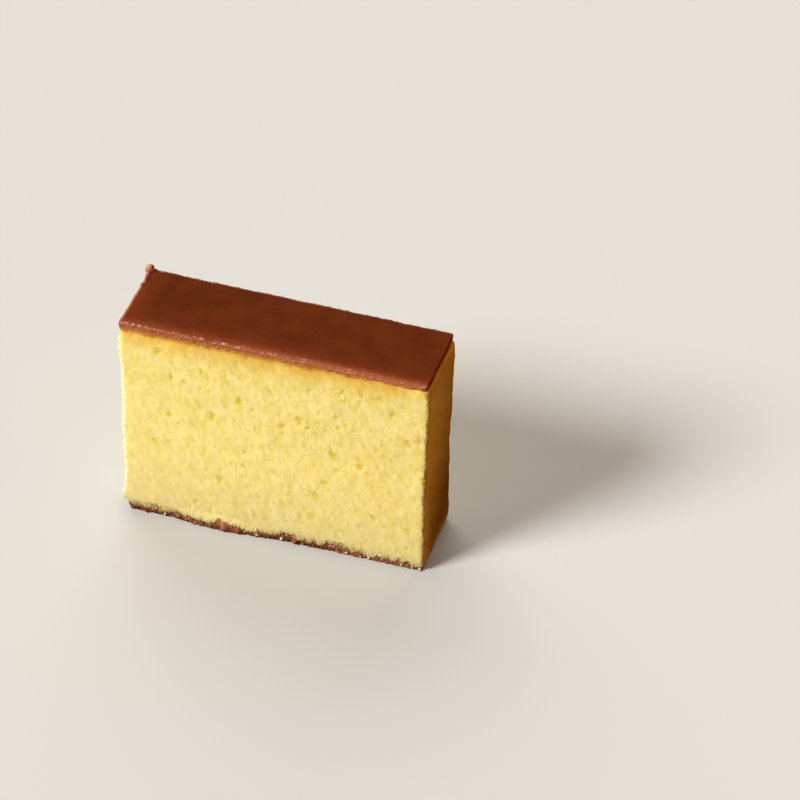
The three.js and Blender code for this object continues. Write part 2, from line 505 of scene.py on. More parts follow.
def crumb_slits(graph, point):
    """Short upright slits between the crumb's walls, 1 where one is open."""
    grain = graph.noise(graph.drift(point, 3.0, 0.6) * (1, 1, 0.36) + (2, 7, 4), 0.85, 1.0)
    return graph.rise(grain, 0.62, 0.7)


def crumb_cut(graph, point, corner):
    """Uneven cut of the knife, from broad waves to the small torn lumps of the crumb."""
    broad = graph.noise(point, 9.0, 1.0) - 0.5
    lumpy = graph.noise(point * (1, 1, 0.7), 2.6, 2.0) - 0.5
    knots = graph.noise(graph.drift(point, 1.5, 0.3) + (3, 1, 4), 0.95, 2.0) - 0.5
    return 0.4 * broad + 0.18 * lumpy + (0.05 + 1.1 * corner) * knots


def crumb_tree(material):
    graph = ShapeGraph("Crumb", SKIN_INPUTS)
    box, point, normal, place = block_skin(graph, CRUMB_LOW, CRUMB_HIGH, CRUMB_ROUND)
    x, y, z = graph.parts(point)
    upper = crust_line(graph, x, y)
    side = on_sides(graph, normal)
    corner = near_corners(graph, abs(x), y, 1.6, 0.4) * (1 - 0.6 * graph.rise(x, -1, 1))
    # Above the border the crumb draws in, so that it ends inside the crust. At the right end
    # it slopes back to the crust, and at the foot it curves under.
    tuck = 0.9 * graph.rise(z, upper + 0.2, upper + 0.9)
    slope = by_end(graph, x, "crust inset") * graph.rise(z, upper - 1.6, upper + 0.2)
    notch = NOTCH["depth"] * graph.rise(x, RIGHT - NOTCH["reach"], RIGHT) * (
        graph.rise(-y, WIDTH / 2 - NOTCH["reach"], WIDTH / 2)) * (
        graph.rise(z, upper - NOTCH["drop"], upper - 0.4))
    under = 0.4 * (1 - graph.rise(z, CRUMB_EDGE - 0.6, FOOT + 1.6))
    unevenness = uneven(graph, x, y, z)
    swell = 0.6 * front_swell(graph, x, y) * (1 - graph.rise(z, CRUMB_EDGE, FOOT + 3.0))
    bulge = LEFT_BULGE["out"] * graph.maths("LESS_THAN", x, 0) * (
        graph.bell(z, LEFT_BULGE["z"], LEFT_BULGE["reach"]))
    px, py, pz = graph.parts(place)
    px, py = spread(px, py, end_offset(graph, x, z) + bulge + unevenness - tuck - slope - notch,
                    face_offset(graph, x, y, z) + unevenness - tuck - under + swell - 0.3 * notch)
    # The lower border wanders, hangs in shreds and rounds up at the left end.
    is_left = graph.rise(-x, LENGTH / 2 - 3.0, LENGTH / 2 - 0.3)
    teeth = graph.rise(graph.noise(point * (1, 1, 0.2), 2.3, 4.0, 0.6), 0.4, 0.62)
    torn_off = graph.rise(graph.noise(point * (1, 1, 0) + (1, 6, 2), 6.0, 2.0), 0.5, 0.68)
    end_on, _, _ = graph.parts(normal)
    fringe = graph.rise(graph.noise(point * (1, 1, 0.5) + (5, 5, 5), 0.8, 2.0), 0.35, 0.65) - 0.5
    worn = sum(graph.bell(x, at, WORN_REACH) for at in WORN_FOOT) * graph.maths("LESS_THAN", y, 0)
    shreds = (0.1 + 0.9 * worn - 0.9 * teeth - 0.8 * fringe + 0.4 * torn_off) * side
    shreds = shreds * (1 - 0.7 * graph.rise(abs(end_on), 0.3, 0.8))
    lift = 1 - graph.rise(z, CRUMB_EDGE + 0.4, CRUMB_EDGE + 4.5)
    pz = pz + (foot_line(graph, x, y) - FOOT + shreds + 0.9 * is_left) * lift + tilted(x, z)
    sunk = sum(part * depth for part, depth in zip(PORES_SUNK, crumb_pores(graph, point)))
    pores = sunk * graph.rise(z, CRUMB_EDGE - 0.2, CRUMB_EDGE + 0.8)
    out = crumb_cut(graph, point, corner) - pores - 0.05 * crumb_slits(graph, point)
    final = graph.vector(px, py, pz) + normal * (out * side)
    graph.finish(placed_mesh(graph, box, final, {"block": point}), material)
    return graph


def crumb_colour(paint, point):
    """Pale yellow crumb, lemon in its pores and slits, partly as painted shade, and golden towards
    the top crust.
    """
    x, y, z = paint.parts(point)
    # The left part is the plainest.
    marked = 0.5 + 0.5 * paint.rise(x, LEFT, -8)
    soft = paint.noise(point * (1, 1, 0.7), 2.4, 3.0, 0.5)
    colour = paint.mix(paint.rise(soft, 0.36, 0.62), srgb("#f3de81"), srgb("#fbe695"))
    beige = paint.rise(paint.noise(point * (1, 1, 0.6) + (8, 5, 3), 3.2, 2.0), 0.5, 0.66)
    colour = paint.mix(0.3 * beige, colour, srgb("#e4cd8c"))
    # Long upright wisps, pale and lemon.
    pale = paint.noise(paint.drift(point, 4.0, 1.0) * (1, 1, 0.18) + (9, 2, 6), 1.3, 1.0)
    colour = paint.mix(0.42 * marked * paint.rise(pale, 0.5, 0.66), colour, srgb("#ffeeac"))
    lemon = paint.noise(paint.drift(point, 4.0, 1.0) * (1, 1, 0.3), 1.6, 1.0)
    colour = paint.mix(0.45 * marked * paint.rise(lemon, 0.5, 0.66), colour, srgb("#e9d65e"))
    # Spots, slits and pores are lemon, and orange in warm patches.
    large, middling, small = crumb_pores(paint, point)
    warm = paint.rise(paint.noise(point, 7.0, 1.0), 0.58, 0.7)
    hollow = paint.mix(warm, srgb("#dac838"), srgb("#e4bc3c"))
    deep = paint.mix(warm, srgb("#d9c418"), srgb("#e3ba1c"))
    spots = paint.noise(paint.drift(point, 2.0, 0.9) * (1, 1, 0.7) + (4, 4, 9), 2.3, 1.0)
    colour = paint.mix(0.6 * marked * paint.rise(spots, 0.6, 0.72), colour, srgb("#dacb44"))
    # In the slits and pores the lemon is partly the crumb's own colour and partly painted shade of
    # the hollows.
    colour = paint.mix(0.3 * marked * crumb_slits(paint, point), colour, srgb("#d8c850"))
    colour = paint.mix((small * 0.7).lower(0.22), colour, hollow)
    colour = paint.mix((middling * 1.2).lower(0.65), colour, hollow)
    colour = paint.mix((large * 0.95).lower(0.8), colour, deep)
    # The upright corners of the left end are pale, and its foot is beige.
    colour = paint.mix(0.45 * near_corners(paint, -x, y, 2.2, 0.3), colour, srgb("#fff3cc"))
    low_left = (1 - paint.rise(x, LEFT, LEFT + 6)) * (1 - paint.rise(z, 4, 12))
    colour = paint.mix(0.5 * low_left, colour, srgb("#e8d6a4"))
    # Painted shade: the crumb is darker towards the right and the bottom, the right end's foot
    # most.
    colour = paint.mix(0.28 * paint.rise(x, LEFT, RIGHT), colour, srgb("#dac478"))
    colour = paint.mix(0.47 * (1 - paint.rise(z, 2.0, 32.0)), colour, srgb("#d3c286"))
    # Painted shade on the right end: darkest low down and towards the back, least by its front
    # edge.
    end = paint.rise(x, RIGHT - 2.0, RIGHT - 0.7)
    painted_end_shade = 0.9 * (1 - paint.rise(z, -10.0, 50.0)) + 0.5 * paint.rise(y, FRONT, BACK)
    painted_end_shade = painted_end_shade * (0.1 + 0.9 * paint.rise(y, FRONT, FRONT + 7))
    colour = paint.mix((end * painted_end_shade).lower(1), colour, srgb("#8e6b2a"))
    # Under the top crust the crumb is golden in uneven drips, then orange at the border, apart
    # from the right end of the front, where it stays pale almost up to the crust.
    bare = paint.rise(x, RIGHT - 12, RIGHT - 2) * (1 - paint.rise(y, FRONT, FRONT + 3))
    below = crust_line(paint, x, y) - z + 2.4 * bare
    drips = (paint.noise(point * (1, 1, 0.3), 1.8, 3.0, 0.6) - 0.5) * 9
    away = 1 + 0.25 * paint.rise(x, LEFT, -10)
    stained = 1 - paint.rise(below + drips, 0.0, 7.5 * away)
    colour = paint.mix(0.85 * stained, colour, srgb("#e2be50"))
    gold = paint.mix(paint.rise(x, LEFT, -15), srgb("#f2b848"), srgb("#d8a844"))
    golden = 1 - paint.rise(below + 0.35 * drips, -0.2, 3.4 * away)
    colour = paint.mix(0.9 * golden, colour, gold)
    at_border = 1 - paint.rise(below + 0.15 * drips, -0.5, 1.4)
    colour = paint.mix(0.9 * at_border, colour, srgb("#c37a30"))
    # Towards its lower border it is beige, then tan, and the underside of the left end's bulge
    # is tan too. Here and there the border is browned.
    low = z - CRUMB_EDGE - (foot_line(paint, x, y) - FOOT) + 0.25 * drips
    colour = paint.mix(0.5 * (1 - paint.rise(low, 0.0, 6.0)), colour, srgb("#c8b47e"))
    colour = paint.mix(0.75 * (1 - paint.rise(low, -0.4, 1.5)), colour, srgb("#b98550"))
    under = (1 - paint.rise(x, LEFT, LEFT + 0.8)) * (
        1 - paint.rise(z + 0.2 * drips, CRUMB_EDGE + 0.6, CRUMB_EDGE + 3.8))
    colour = paint.mix(0.8 * under, colour, srgb("#cb9550"))
    browned = paint.rise(paint.noise(point + (7, 7, 7), 1.0, 3.0, 0.62), 0.48, 0.6)
    return paint.mix(0.65 * browned * (1 - paint.rise(low, 0.4, 2.4)), colour, srgb("#8a5428"))


def crumb_paint():
    paint = Paint("castella crumb", Subsurface_Weight=0.4, Subsurface_Scale=2 * MM, IOR=1.35,
                  Subsurface_Radius=CRUMB_SPREAD, Specular_IOR_Level=0.2)
    point = paint.stored("block", "Vector")
    paint.set("Base Color", crumb_colour(paint, point))
    paint.set("Roughness", 0.72 + 0.2 * paint.noise(point, 0.9, 2.0))
    _, _, small = crumb_pores(paint, point)
    fine = paint.noise(point, 0.5, 3.0, 0.6)
    paint.relief(fine - small * 0.6 - 0.3 * crumb_slits(paint, point), 0.02)
    return paint.material


# ---- Top crust -------------------------------------------------------------------------------

CRUST_LOW = (LEFT, FRONT, HEIGHT - CRUST - 1.6)
CRUST_HIGH = (RIGHT, BACK, HEIGHT)


def by_knob(graph, x, y, along, across):
    """1 at the foot of the knob, and 0 that far from it."""
    return graph.bell(x, LEFT + KNOB["x"], along) * graph.bell(y, BACK - KNOB["y"], across)


def curl_lift(graph, x, y):
    """The left edge of the crust curls up towards the back corner."""
    back = graph.rise(y, BACK - CURL["run"], BACK - 0.5)
    edge = 1 - graph.rise(x - LEFT, 0.1, CURL["reach"])
    outer = 1 - 0.35 * graph.rise(y, BACK - 1.2, BACK)
    return CURL["height"] * back * edge * outer + CURL["knob"] * by_knob(graph, x, y, 2.8, 3.4)


def rim_of(graph, point):
    """1 in a band along the crust's upper edges, apart from the right end's; widest in front."""
    x, y, z = graph.parts(point)
    from_front = (y - FRONT) * (1 - 0.5 * graph.rise(x, -25, 5))
    reach = (x - LEFT).lower(BACK - y).lower(from_front) + (HEIGHT - z)
    return 1 - graph.rise(reach, 0.25, 0.95)


def rim_flecks(graph, point):
    """The rim is torn into small raised flecks."""
    torn = graph.noise(graph.drift(point, 1.2, 0.6) * (0.7, 1, 1), 0.8, 3.0, 0.62)
    return rim_of(graph, point) * graph.rise(torn, 0.5, 0.64)


def crust_skin(graph, point):
    """The baked skin: slow swells, a faint leather grain, and pin holes."""
    swell = graph.noise(point, 16.0, 1.0) - 0.5
    leather = graph.noise(graph.drift(point, 3.0, 0.8), 1.5, 3.0, 0.55) - 0.5
    holes = graph.bubbles(point, 2.8, 0.1, 0.26, 0.35)
    return 0.25 * swell + 0.07 * leather - 0.5 * holes, holes


def lump_mesh(graph, lump):
    """One soft lump of the curled edge."""
    ball = graph.node("GeometryNodeMeshIcoSphere", {}, {"Radius": 1.0, "Subdivisions": 5})
    round_point = graph.node("GeometryNodeInputPosition")
    centre = (LEFT + lump["x"], BACK - lump["y"], HEIGHT + TILT / 2 + lump["rise"])
    uneven_size = (0.4 + 0.6 * graph.noise(round_point + centre, 1.3)
                   + 0.7 * graph.noise(round_point + centre, 0.55, 3.0, 0.6))
    place = round_point * uneven_size * lump["size"] + centre
    return placed_mesh(graph, ball, place, {"block": place, "cut": 1.0, "knob": 1.0})


def crust_tree(material):
    graph = ShapeGraph("Top crust", SKIN_INPUTS)
    box, point, normal, place = block_skin(graph, CRUST_LOW, CRUST_HIGH, CRUST_ROUND)
    x, y, z = graph.parts(point)
    lower = crust_line(graph, x, y)
    side = on_sides(graph, normal)
    _, _, up = graph.parts(normal)
    top = graph.rise(up, 0.5, 0.9)
    wander = (graph.noise(point, 1.4, 3.0) - 0.5) * 1.2
    # Under its border the crust draws in, so that it ends inside the crumb.
    tuck = 1.1 * (1 - graph.rise(z + 0.6 * wander, lower - 0.9, lower + 0.1))
    lip = CRUST_LIP * graph.rise(z, lower, lower + 1.4)
    unevenness = uneven(graph, x, y, z)
    shoulder = by_end(graph, x, "shoulder") * graph.bell(z, HEIGHT - SHOULDER_DROP, SHOULDER_WIDE)
    px, py, pz = graph.parts(place)
    px, py = spread(px, py, shoulder + unevenness - by_end(graph, x, "crust inset") - tuck,
                    lip + unevenness - tuck)
    # The chip drops the lip a little, and the curl lifts the left edge.
    front = graph.rise(-y, WIDTH / 2 - 1.5, WIDTH / 2 - 0.3)
    chip = CHIP["depth"] * front * graph.bell(x + wander * 0.6, CHIP["x"], CHIP["reach"])
    upper = graph.rise(z, HEIGHT - 1.2, HEIGHT - 0.2)
    pz = pz + (curl_lift(graph, x, y) - chip) * upper + tilted(x, z)
    skin, _ = crust_skin(graph, point)
    torn = (graph.noise(point, 0.9, 3.0, 0.6) - 0.5) * 0.5
    pits = graph.bubbles(graph.drift(point, 1.0, 0.3), 1.0, 0.14, 0.34, 0.5)
    flecks = 0.2 * rim_flecks(graph, point)
    out = skin * top + (torn - 0.5 * pits) * side * (1 - top) + flecks
    final = graph.vector(px, py, pz) + normal * out
    skin_mesh = placed_mesh(graph, box, final, {"block": point, "cut": side, "knob": 0.0})
    joined = graph.node("GeometryNodeJoinGeometry")
    for part in (skin_mesh, *(lump_mesh(graph, lump) for lump in LUMPS)):
        graph.tree.links.new(part.socket, joined.socket.node.inputs[0])
    graph.finish(joined, material)
    return graph


def crust_top_colour(paint, point):
    """Even dark brown, more orange to the left end, lighter along the front, partly as painted
    sheen.
    """
    x, y, _ = paint.parts(point)
    colour = paint.mix(paint.rise(paint.noise(point, 7.0, 4.0, 0.6), 0.36, 0.66),
                       srgb("#4a1a03"), srgb("#531f04"))
    left = 1 - paint.rise(x, LEFT - 3, LEFT + 8)
    colour = paint.mix(0.6 * left, colour, srgb("#702e08"))
    # Lighter along the front: the crust's own colour, and in the narrow band by the edge partly a
    # painted sheen.
    behind = y - FRONT + 4 * (paint.noise(point, 1.8, 4.0, 0.65) - 0.5)
    colour = paint.mix(0.6 * (1 - paint.rise(behind, 0.0, 9.0)), colour, srgb("#64260c"))
    share = 0.5 + 0.25 * paint.rise(x, -30, 20)
    colour = paint.mix(share * (1 - paint.rise(behind, 0.8, 3.8)), colour, srgb("#7c3c1e"))
    mottle = paint.rise(paint.noise(point * (1.4, 1, 1), 1.5, 4.0, 0.65), 0.5, 0.72)
    colour = paint.mix(0.4 * mottle, colour, srgb("#421607"))
    # Painted light: paler round the foot of the knob, where its slope would lie in shade.
    colour = paint.mix(0.75 * by_knob(paint, x, y, 2.6, 3.4), colour, srgb("#a86a4c"))
    # Painted shade darkens the pin holes.
    _, holes = crust_skin(paint, point)
    return paint.mix((holes * 5).lower(0.8), colour, srgb("#30120a"))


def crust_edge_colour(paint, point):
    """Reddish brown cut edge: mauve at the left, orange along its foot, painted shade at the right
    end.
    """
    x, y, z = paint.parts(point)
    wander = paint.noise(point, 1.2, 3.0) - 0.5
    colour = paint.mix(paint.rise(paint.noise(point, 1.1, 4.0, 0.65), 0.38, 0.62),
                       srgb("#84402a"), srgb("#b06c46"))
    colour = paint.mix(0.7 * paint.rise(paint.noise(point + (4, 4, 4), 3.4, 2.0), 0.5, 0.64),
                       colour, srgb("#a65730"))
    left = 1 - paint.rise(x, LEFT, LEFT + 12)
    colour = paint.mix(0.65 * left, colour, srgb("#a65c54"))
    above = z - crust_line(paint, x, y) + wander * 1.2
    colour = paint.mix(0.9 * (1 - paint.rise(above, 0.0, 2.0)), colour, srgb("#cd8636"))
    # Painted shade: the cut edge is dark at the right end.
    right = paint.rise(x, RIGHT - 1.4, RIGHT - 0.6)
    return paint.mix(0.9 * right, colour, srgb("#6e280c"))


def crust_paint():
    paint = Paint("castella top crust", Subsurface_Weight=0.05, Subsurface_Scale=MM, IOR=1.45,
                  Subsurface_Radius=(1.0, 0.4, 0.2), Specular_IOR_Level=0.25,
                  Specular_Tint=(1.0, 0.68, 0.38, 1.0))
    point = paint.stored("block", "Vector")
    cut = paint.stored("cut")
    colour = paint.mix(cut, crust_top_colour(paint, point), crust_edge_colour(paint, point))
    x, _, z = paint.parts(point)
    # The rim is paler, above all at the left end and in its flecks.
    # This paleness is partly the torn crust's own colour and partly a painted highlight.
    left_rim = 1 - paint.rise(x - LEFT + (HEIGHT - z), 0.3, 0.9)
    colour = paint.mix(0.45 * left_rim, colour, srgb("#b4745c"))
    colour = paint.mix(0.5 * rim_of(paint, point), colour, srgb("#8c4c3a"))
    patches = paint.noise(point + (6, 1, 3), 4.5, 2.0) - x * 0.004
    pale_part = 0.3 + 0.7 * paint.rise(patches, 0.42, 0.6)
    colour = paint.mix(0.75 * pale_part * rim_flecks(paint, point), colour, srgb("#c29079"))
    knob = paint.mix(paint.rise(paint.noise(point, 0.9, 3.0), 0.35, 0.65),
                     srgb("#94583e"), srgb("#c48e74"))
    paint.set("Base Color", paint.mix(paint.stored("knob"), colour, knob))
    paint.set("Roughness", 0.34 + 0.1 * paint.noise(point, 2.2, 3.0) + 0.15 * cut)
    leather = paint.noise(paint.drift(point, 1.2, 0.3), 0.7, 3.0, 0.55)
    grain = paint.noise(point, 0.35, 3.0, 0.6)
    paint.relief(leather * 0.25 + (0.05 + 0.95 * cut) * grain, 0.12)
    return paint.material


# ---- Bottom crust ----------------------------------------------------------------------------

FOOT_LOW = (LEFT, FRONT, 0)
FOOT_HIGH = (RIGHT, BACK, FOOT + 3.0)


def foot_tree(material):
    graph = ShapeGraph("Bottom crust", SKIN_INPUTS)
    box, point, normal, place = block_skin(graph, FOOT_LOW, FOOT_HIGH, FOOT_ROUND)
    x, y, z = graph.parts(point)
    side = on_sides(graph, normal)
    ragged = (graph.noise(point * (1, 1, 0.5), 2.8, 4.0, 0.62) - 0.5) * 2.4
    wander = 1 + RECESS_WAVER["high"] * graph.waver(x * RECESS_WAVER["pace"], RECESS_WAVER["phase"])
    swell = front_swell(graph, x, y) * (1 - 0.5 * graph.rise(z, 0.8, FOOT))
    tuck = 0.8 * graph.rise(z, CRUMB_EDGE, CRUMB_EDGE + 1.0)
    px, py, pz = graph.parts(place)
    inset = by_end(graph, x, "foot") * (1 - 0.75 * graph.rise(z, 0.8, FOOT + 0.8))
    ragged = ragged * (1 - 0.85 * graph.rise(z, 1.2, FOOT + 0.2))
    px, py = spread(px, py, ragged * 0.4 - inset - 0.3 * tuck,
                    ragged * 0.5 - FOOT_RECESS * wander - tuck + swell)
    front = graph.rise(-y, WIDTH / 2 - 2.0, WIDTH / 2 - 0.5)
    lump = FOOT_LUMP["height"] * front * (
        graph.bell(x, FOOT_LUMP["x"], FOOT_LUMP["reach"]) * graph.bell(z, FOOT_LUMP["z"], 1.5))
    rough = (graph.noise(point * (1, 1, 0.5), 0.9, 3.0, 0.6) - 0.5) * 1.1
    holes = graph.bubbles(graph.drift(point, 1.0, 0.3), 1.4, 0.18, 0.5, 0.6)
    moved = graph.vector(px, py - lump, pz) + normal * ((rough - 0.6 * holes) * side)
    mx, my, mz = graph.parts(moved)
    mesh = placed_mesh(graph, box, graph.vector(mx, my, mz.upper(0)), {
        "block": point, "hole": (holes * 3).lower(1)})
    graph.finish(mesh, material)
    return graph


def foot_paint():
    paint = Paint("castella bottom crust", Subsurface_Weight=0.08, Subsurface_Scale=MM, IOR=1.4,
                  Subsurface_Radius=(1.0, 0.45, 0.2), Specular_IOR_Level=0.35)
    point = paint.stored("block", "Vector")
    x, _, z = paint.parts(point)
    colour = paint.mix(paint.rise(paint.noise(point, 1.6, 4.0, 0.65), 0.38, 0.62),
                       srgb("#451d0d"), srgb("#7c4220"))
    colour = paint.mix(0.4 * paint.rise(x, 5, 42), colour, srgb("#a26c46"))
    tan = paint.rise(paint.noise(point + (3, 8, 1), 1.2, 3.0, 0.65), 0.54, 0.66)
    colour = paint.mix(0.6 * tan, colour, srgb("#b98452"))
    # Painted shade darkens the holes.
    colour = paint.mix(0.6 * paint.stored("hole"), colour, srgb("#36160c"))
    # The upper border is tan, its own colour, made paler as painted light in the shaded gaps under
    # the crumb.
    upper = paint.rise(z + tan * 0.8, FOOT - 0.8, FOOT + 1.1)
    colour = paint.mix(0.75 * upper, colour, srgb("#b8844c"))
    paint.set("Base Color", colour)
    paint.set("Roughness", 0.5 + 0.25 * paint.noise(point, 1.1, 2.0))
    paint.relief(paint.noise(point, 0.4, 4.0, 0.65), 0.22)
    return paint.material


# ---- Sugar grains and crumbs -----------------------------------------------------------------

# Places of the coarse grains along the foot: in front (-1) and at the back (1).
SUGAR = {
    -1: (-33, -4.6, 2.7, 22.6, 26.7, 29.4, 39.3, 42.5, 44.7),
    1: (-41, -29.5, -12, -8.6, 6, 19.5, 33, 43.5),
}
SUGAR_LEAST, SUGAR_MOST = 0.42, 0.66
SUGAR_LIFT, SUGAR_SCATTER, SUGAR_SUNK = 1.4, 0.3, 0.12
GRAIN_SIDES = (1.7, 1.35, 1.2)

# Loose crumbs, in metres, and how thickly they lie on open faces, at the foot and at corners.
LOOSE_CRUMBS = {"Spacing": 0.5 * MM, "Density": 1.5e6, "Least": 0.12 * MM, "Most": 0.38 * MM}
ON_FACES, AT_FOOT, AT_CORNERS = 0.004, 0.4, 0.25


def mixed(index, start):
    """Evenly mixed numbers from 0 to 1 that look random: steps of the golden ratio."""
    return (start + index * 0.618034) % 1


def wavering(along, phase):
    """The wandering line of a graph, worked out as a number."""
    return sum(share * math.sin(pace * along + turn * phase) for share, pace, turn in SINES)


def foot_reach(x, side):
    """How far the foot of the front (side below 0) or the back stands out from the block."""
    u = min(abs(x - FOOT_SWELL["x"]) / FOOT_SWELL["reach"], 1)
    swell = FOOT_SWELL["out"] * (1 - u * u) ** 2 if side < 0 else 0
    wander = RECESS_WAVER["high"] * wavering(RECESS_WAVER["pace"] * x, RECESS_WAVER["phase"])
    return swell - FOOT_RECESS * (1 + wander)


def sugar_points():
    """Places and radii of the coarse grains along the bottom edges of the long faces."""
    points = []
    for side, places in SUGAR.items():
        for i, x in enumerate(places):
            y = side * (WIDTH / 2 + foot_reach(x, side) - SUGAR_SUNK)
            radius = SUGAR_LEAST + (SUGAR_MOST - SUGAR_LEAST) * mixed(i, 0.77 + 0.1 * side)
            z = SUGAR_LIFT * radius + SUGAR_SCATTER * mixed(i, 0.1)
            points.append((Vector((x, y, z)), radius))
    return points


def point_mesh(name, points):
    """Loose vertices with a radius each, for a tree to put grains on."""
    mesh = bpy.data.meshes.new(name)
    mesh.from_pydata([place * MM for place, _ in points], [], [])
    radii = mesh.attributes.new("radius", "FLOAT", "POINT")
    radii.data.foreach_set("value", [radius * MM for _, radius in points])
    return mesh


def random_turn(graph, seed):
    """A random rotation for each instance."""
    return graph.node("FunctionNodeRandomValue", {"data_type": "FLOAT_VECTOR"},
                      {"Min": 0, "Max": math.tau, "Seed": seed})


def grain_tree(material):
    """Chipped crystals on the loose vertices of the object it runs on."""
    graph = ShapeGraph("Sugar grains", {"Geometry": "Geometry", "Seed": "Int"})
    radius = graph.node("GeometryNodeInputNamedAttribute", {"data_type": "FLOAT"},
                        {"Name": "radius"})
    crystal = graph.node("GeometryNodeMeshCube", {}, {
        "Size": GRAIN_SIDES, "Vertices X": 5, "Vertices Y": 5, "Vertices Z": 5})
    grains = graph.node("GeometryNodeInstanceOnPoints", {}, {
        "Points": graph.given["Geometry"], "Instance": crystal,
        "Rotation": random_turn(graph, graph.given["Seed"]), "Scale": radius})
    real = graph.node("GeometryNodeRealizeInstances", {}, {0: grains})
    point = graph.node("GeometryNodeInputPosition") * (1 / MM)
    chipped = (graph.drift(point, 0.7, 0.3) - point) * MM
    rough = graph.node("GeometryNodeSetPosition", {}, {"Geometry": real, "Offset": chipped})
    graph.finish(rough, material)
    return graph


def sugar_paint():
    paint = Paint("sugar grain", Subsurface_Weight=0.3, Subsurface_Scale=MM, IOR=1.54,
                  Subsurface_Radius=(1.0, 0.8, 0.6), Specular_IOR_Level=0.3)
    point = paint.place()
    cloudy = paint.noise(point, 1.2, 2.0)
    paint.set("Base Color", paint.mix(cloudy, srgb("#a88e78"), srgb("#cfb49c")))
    paint.set("Roughness", 0.25 + 0.25 * paint.noise(point, 0.5, 2.0))
    paint.relief(paint.noise(point, 0.3, 3.0), 0.08)
    return paint.material


def loose_crumbs_tree(material):
    """Small torn crumbs that cling to the cut faces, most of them at the foot and the corners."""
    graph = ShapeGraph("Clinging crumbs", {
        "Geometry": "Geometry", "Spacing": "Float", "Density": "Float", "Least": "Float",
        "Most": "Float", "Seed": "Int"})
    at = graph.node("GeometryNodeInputPosition")
    point = at * (1 / MM)
    x, y, z = graph.parts(point)
    normal = graph.node("GeometryNodeInputNormal")
    side = graph.maths("GREATER_THAN", on_sides(graph, normal), 0.5)
    patchy = graph.rise(graph.noise(point, 5.0, 2.0), 0.45, 0.7)
    near_foot = 1 - graph.rise(z, CRUMB_EDGE + 0.4, CRUMB_EDGE + 2.6)
    corner = near_corners(graph, -x, y, 1.8, 0.6)
    share = (ON_FACES * patchy + AT_FOOT * near_foot + AT_CORNERS * corner).lower(1) * side
    seed = graph.given["Seed"]
    scatter = graph.node("GeometryNodeDistributePointsOnFaces", {"distribute_method": "POISSON"}, {
        "Mesh": graph.given["Geometry"], "Distance Min": graph.given["Spacing"],
        "Density Max": graph.given["Density"], "Density Factor": share, "Seed": seed})
    chance = graph.node("FunctionNodeRandomValue", {"data_type": "FLOAT"}, {
        "Min": 0.0, "Max": 1.0, "Seed": seed})
    radius = graph.given["Least"] + (graph.given["Most"] - graph.given["Least"]) * chance ** 3
    cube = graph.node("GeometryNodeMeshCube", {}, {
        "Vertices X": 3, "Vertices Y": 3, "Vertices Z": 3})
    blunt = at * 0.7 + at.unit() * 0.6
    pebble = graph.node("GeometryNodeSetPosition", {}, {"Geometry": cube, "Position": blunt})
    bits = graph.node("GeometryNodeInstanceOnPoints", {}, {
        "Points": scatter, "Instance": pebble, "Rotation": random_turn(graph, seed + 1),
        "Scale": graph.vector(radius, radius * 0.8, radius * 0.65)})
    shade = graph.node("FunctionNodeRandomValue", {"data_type": "FLOAT"}, {
        "Min": 0.0, "Max": 1.0, "Seed": seed + 2})
    bits = keep_values(graph, bits, {"shade": shade}, "INSTANCE")
    real = graph.node("GeometryNodeRealizeInstances", {}, {0: bits})
    torn = (graph.drift(point, 0.4, 0.14) - point) * MM
    rough = graph.node("GeometryNodeSetPosition", {}, {"Geometry": real, "Offset": torn})
    graph.finish(rough, material)
    return graph


def loose_crumbs_paint():
    paint = Paint("loose crumb", Subsurface_Weight=0.2, Subsurface_Scale=0.5 * MM, IOR=1.35,
                  Subsurface_Radius=CRUMB_SPREAD, Specular_IOR_Level=0.2)
    point = paint.place()
    _, _, z = paint.parts(point)
    shade = paint.stored("shade")
    colour = paint.mix(paint.rise(shade, 0.3, 0.8), srgb("#efdca4"), srgb("#e4c87c"))
    low = 1 - paint.rise(z, CRUMB_EDGE - 0.4, CRUMB_EDGE + 1.2)
    browned = paint.rise(shade, 0.35, 0.75) * low
    colour = paint.mix(0.85 * browned, colour, srgb("#a9693c"))
    paint.set("Base Color", colour)
    paint.set("Roughness", 0.7 + 0.2 * paint.noise(point, 0.9, 2.0))
    paint.relief(paint.noise(point, 0.3, 3.0), 0.1)
    return paint.material


# ---- Build -----------------------------------------------------------------------------------


def build_skin(name, tree, low, high, step):
    """Runs a piece's tree on the skin of its box, thinned to the triangles it may keep."""
    return tree.run(name, skin_counts(low, high, step), triangles=TRIANGLES[name])


def build_slice():
    crumb = build_skin("crumb", crumb_tree(crumb_paint()), CRUMB_LOW, CRUMB_HIGH, CRUMB_STEP)
    crust = build_skin("top_crust", crust_tree(crust_paint()), CRUST_LOW, CRUST_HIGH, CRUST_STEP)
    foot = build_skin("bottom_crust", foot_tree(foot_paint()), FOOT_LOW, FOOT_HIGH, FOOT_STEP)
    sugar = grain_tree(sugar_paint()).run(
        "sugar_grains", {"Seed": SEED}, start=point_mesh("sugar_grains", sugar_points()))
    crumbs = loose_crumbs_tree(loose_crumbs_paint()).run(
        "loose_crumbs", {**LOOSE_CRUMBS, "Seed": SEED}, start=crumb.data.copy())
    # Every piece rides on the slice's body and stands for its solid, which is hidden.
    for piece in (crumb, crust, foot, sugar, crumbs):
        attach(piece, BODY)
        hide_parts(NODE)


# ---- Camera, light and floor -----------------------------------------------------------------

CAMERA = {"azimuth": 16.0, "elevation": 38.6, "roll": 1.6, "distance": 1300.0, "lens": 192.85,
          "target": (16.2, 61.1, 0.0)}


